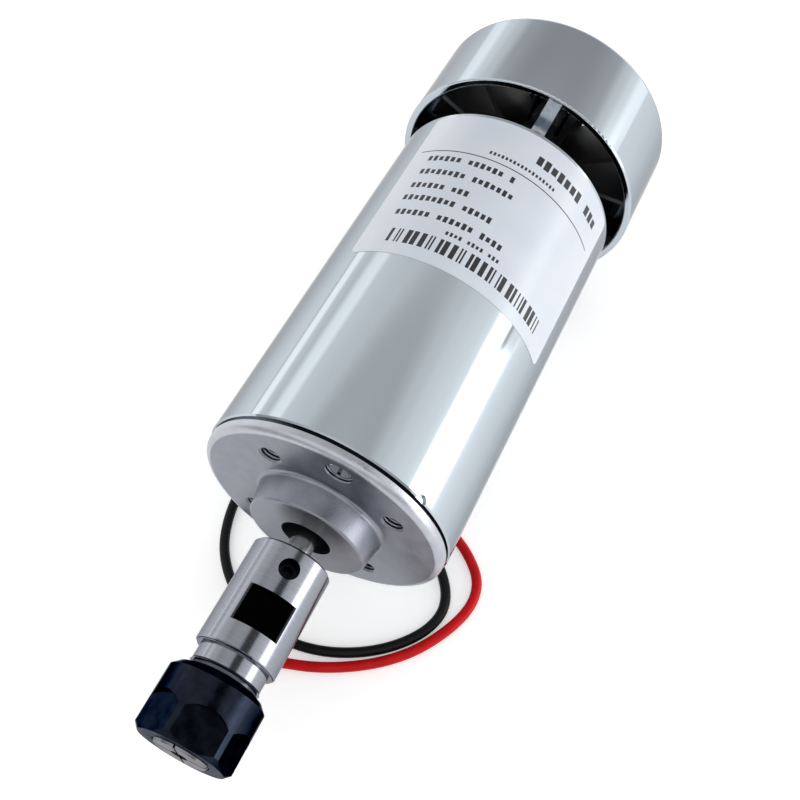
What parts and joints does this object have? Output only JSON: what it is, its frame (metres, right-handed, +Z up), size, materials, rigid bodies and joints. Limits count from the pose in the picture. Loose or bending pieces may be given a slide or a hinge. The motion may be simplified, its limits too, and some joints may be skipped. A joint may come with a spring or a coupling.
{
  "type": "collet motor spindle",
  "caption": "Round brushed motor spindle with a shaft-mounted collet holder and hex nut, a slotted fan shroud on stand-offs at the rear, and two loose supply leads.",
  "frame": {"origin": "centre of the bolt circle on the front cap's flat mounting face, on the spindle axis", "axes": "+X along the spindle axis towards the collet nut, +Z up with the spindle lying on a table on its fan shroud and leads, +Y to the side the red lead swings out to"},
  "size_m": [0.1717, 0.0606, 0.0576],
  "materials": {
    "plated_tube": "bright nickel plate, softly polished",
    "cast_alloy": "machined die cast alloy",
    "zinc_plated_steel": "bright zinc plate",
    "ground_steel": "ground",
    "bearing_steel": "polished",
    "pressed_steel": "pressed sheet",
    "ferrite": "sintered, dark grey",
    "lamination_steel": "stacked sheets",
    "enamelled_copper": "enamelled wire",
    "hard_copper": "turned",
    "moulded_resin": "phenolic",
    "brass_sheet": "bright",
    "brush_carbon": "pressed carbon",
    "spring_steel": "drawn wire",
    "black_nylon": "moulded",
    "holder_steel": "ground and turned",
    "black_oxide_steel": "black oxide",
    "label_film": "satin printed film",
    "red_insulation": "soft gloss",
    "black_insulation": "soft gloss",
    "tinned_copper": "tinned strands"
  },
  "bodies": {
    "housing": {"motor_tube": "plated_tube", "front_cap": "cast_alloy", "rear_cap": "cast_alloy", "tie_screws": "zinc_plated_steel", "tie_washers": "zinc_plated_steel", "standoffs": "zinc_plated_steel", "front_bearing_outer_ring": "bearing_steel", "front_bearing_shields": "pressed_steel", "rear_bearing_outer_ring": "bearing_steel", "rear_bearing_shields": "pressed_steel", "wave_washer": "pressed_steel", "magnets": "ferrite", "brush_plate": "moulded_resin", "brush_plate_screws": "zinc_plated_steel", "brush_holder_right": "brass_sheet", "brush_holder_left": "brass_sheet", "brush_spring_right": "spring_steel", "brush_spring_left": "spring_steel", "terminal_posts": "brass_sheet", "terminal_bushes": "moulded_resin", "fan_shroud": "plated_tube", "shroud_screws": "zinc_plated_steel", "label": "label_film", "lead_red": "red_insulation", "lead_black": "black_insulation", "lead_tips": "tinned_copper"},
    "rotor": {"motor_shaft": "ground_steel", "rotor_core": "lamination_steel", "windings": "enamelled_copper", "commutator_hub": "moulded_resin", "commutator_bars": "hard_copper", "front_bearing_inner_ring": "bearing_steel", "rear_bearing_inner_ring": "bearing_steel", "fan": "black_nylon", "fan_clip": "pressed_steel", "collet_holder": "holder_steel", "set_screws": "black_oxide_steel"},
    "front_ball_set": {"front_bearing_balls": "bearing_steel", "front_bearing_cage": "pressed_steel"},
    "rear_ball_set": {"rear_bearing_balls": "bearing_steel", "rear_bearing_cage": "pressed_steel"},
    "right_brush": {"brush_right": "brush_carbon"},
    "left_brush": {"brush_left": "brush_carbon"},
    "collet_slider": {"collet": "holder_steel"},
    "nut": {"collet_nut": "black_oxide_steel"}
  },
  "joints": [
    {"name": "spindle_spin", "type": "hinge", "parent": "housing", "child": "rotor", "pos_m": [0, 0, 0], "axis": [1, 0, 0], "continuous": true},
    {"name": "front_ball_roll", "type": "hinge", "parent": "housing", "child": "front_ball_set", "pos_m": [-0.0061, 0, 0], "axis": [1, 0, 0], "continuous": true},
    {"name": "rear_ball_roll", "type": "hinge", "parent": "housing", "child": "rear_ball_set", "pos_m": [-0.0829, 0, 0], "axis": [1, 0, 0], "continuous": true},
    {"name": "nut_turn", "type": "hinge", "parent": "collet_slider", "child": "nut", "pos_m": [0.043, 0, 0], "axis": [1, 0, 0], "range_deg": [0, 3600]},
    {"name": "collet_travel", "type": "slide", "parent": "rotor", "child": "collet_slider", "axis": [1, 0, 0], "range_m": [0, 0.0075]},
    {"name": "right_brush_feed", "type": "slide", "parent": "housing", "child": "right_brush", "axis": [0, 1, 0], "range_m": [0, 0.0015], "stiffness_N_per_m": 300, "springref_m": -0.005, "deforming": ["brush_spring_right"]},
    {"name": "left_brush_feed", "type": "slide", "parent": "housing", "child": "left_brush", "axis": [0, -1, 0], "range_m": [0, 0.0015], "stiffness_N_per_m": 300, "springref_m": -0.005, "deforming": ["brush_spring_left"]}
  ],
  "couplings": [
    {"joint": "front_ball_roll", "follows": "spindle_spin", "ratio": 0.3677},
    {"joint": "rear_ball_roll", "follows": "spindle_spin", "ratio": 0.36},
    {"joint": "nut_turn", "follows": "collet_travel", "rad_per_m": 8377.6}
  ]
}
